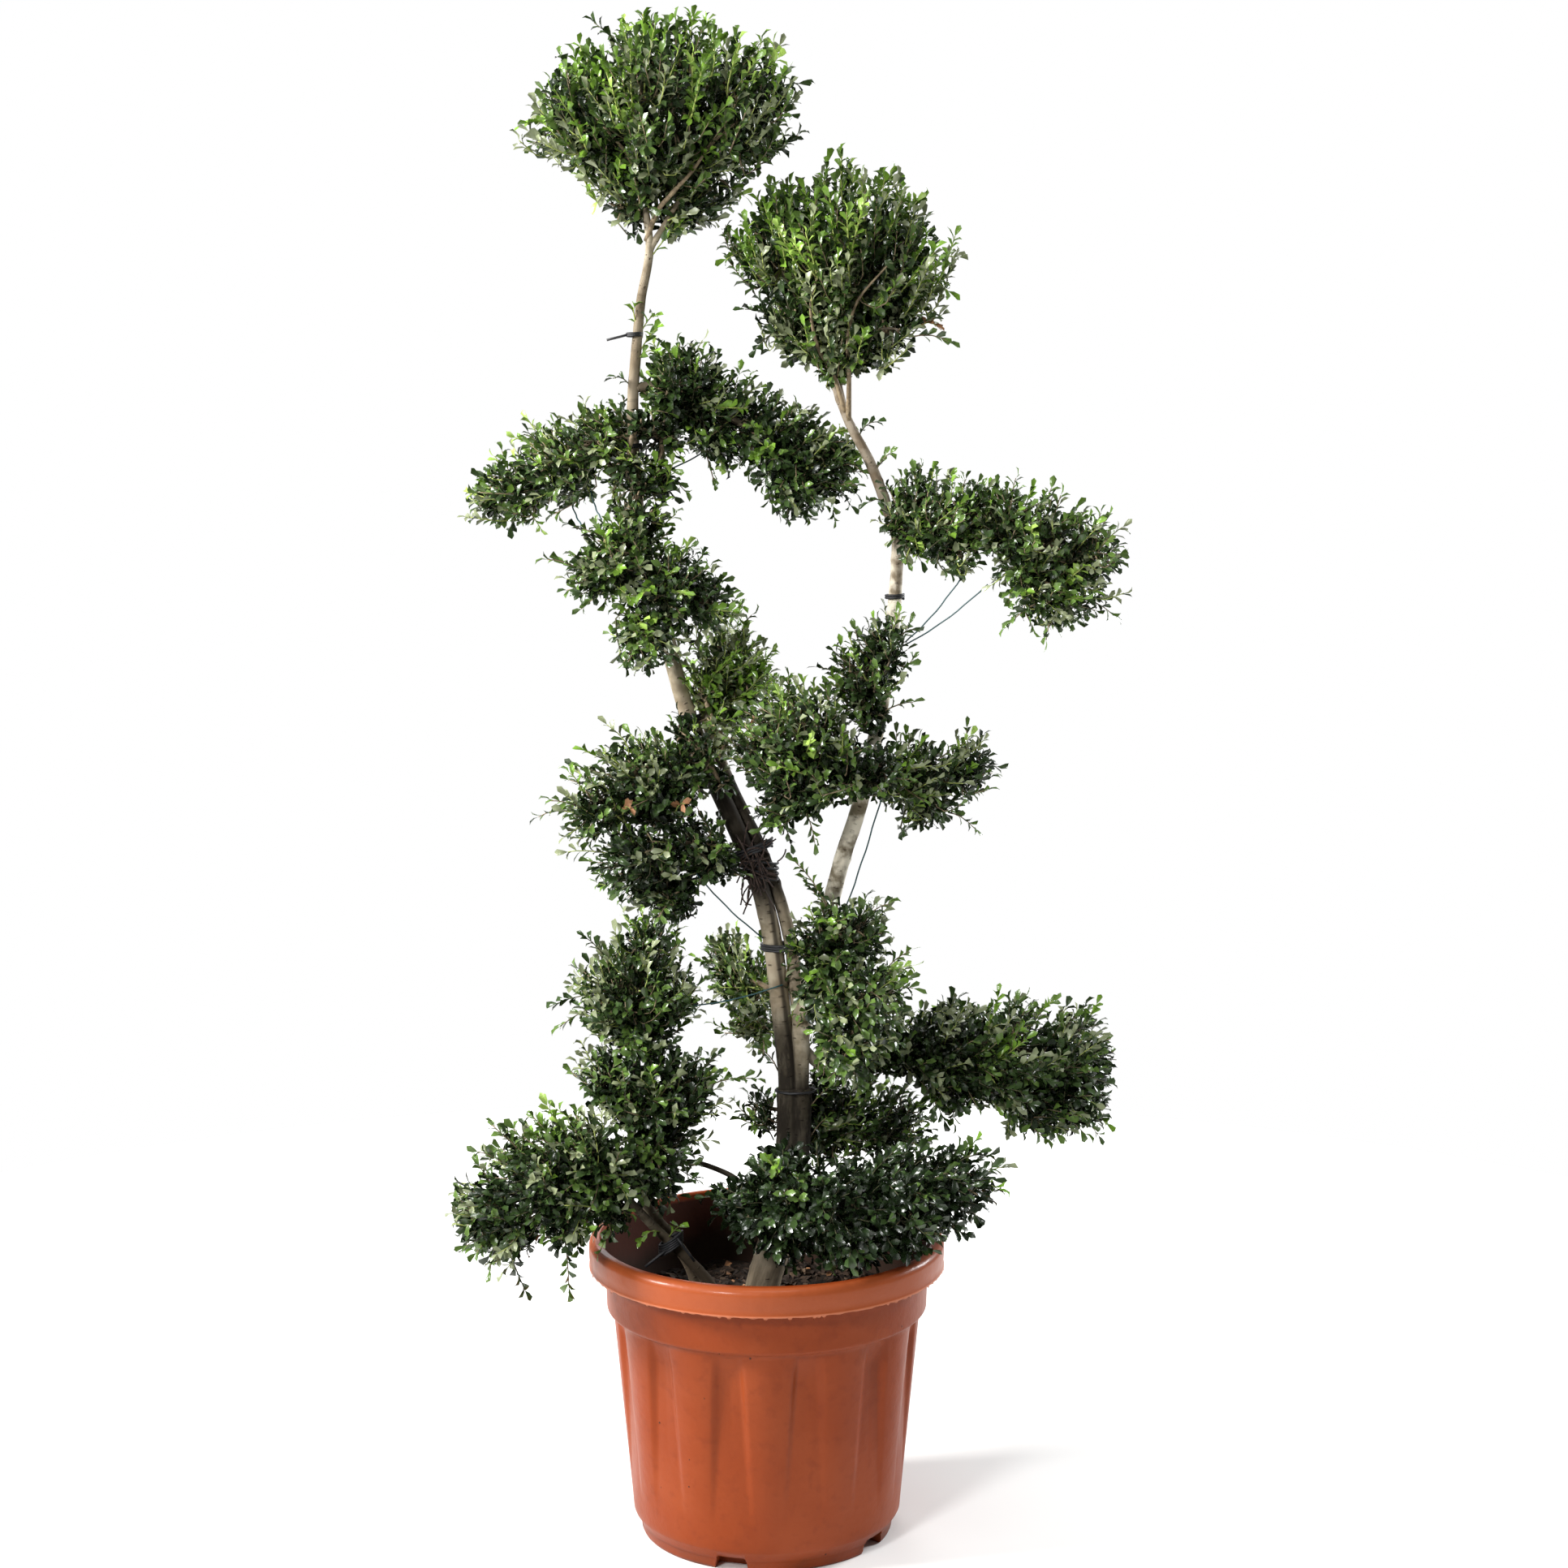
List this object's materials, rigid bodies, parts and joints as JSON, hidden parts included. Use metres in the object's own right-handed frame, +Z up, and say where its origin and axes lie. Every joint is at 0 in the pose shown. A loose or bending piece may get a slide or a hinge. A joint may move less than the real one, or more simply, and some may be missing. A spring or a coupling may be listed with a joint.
{
  "type": "holly bonsai",
  "caption": "Cloud-pruned small-leaved holly with bare forking stems and clipped pads of foliage, growing in a ribbed round nursery pot.",
  "frame": {"origin": "middle of the pot's flat underside", "axes": "+Z up the plant, -Y the front, +X to the right seen from the front"},
  "size_m": [0.9366, 0.5073, 2.1071],
  "materials": {
    "terracotta": "satin",
    "soil": "matte",
    "bark": "matte",
    "foliage": "satin"
  },
  "bodies": {
    "root": {"pot": "terracotta", "soil": "soil", "trunk": "bark", "left_stem": "bark", "right_stem": "bark", "twin_stem": "bark", "right_leader": "bark", "crown_fork": "bark", "right_arm": "bark", "arch_bough": "bark", "low_right_bough": "bark", "column_stem": "bark", "low_left_stem": "bark", "link_bough": "bark", "front_bough": "bark", "crown_left": "foliage", "crown_right": "foliage", "pad_right_inner": "foliage", "pad_right_outer": "foliage", "arch_inner": "foliage", "arch_outer": "foliage", "pad_upper_left": "foliage", "pad_mid_left": "foliage", "pad_mid_inner": "foliage", "pad_centre": "foliage", "pad_centre_top": "foliage", "pad_centre_right": "foliage", "pad_left_high": "foliage", "pad_left_low": "foliage", "pad_behind": "foliage", "pad_middle": "foliage", "pad_low_right": "foliage", "column_top": "foliage", "column_foot": "foliage", "pad_low_left": "foliage", "pad_low_front": "foliage", "pad_low_back": "foliage"}
  },
  "joints": []
}
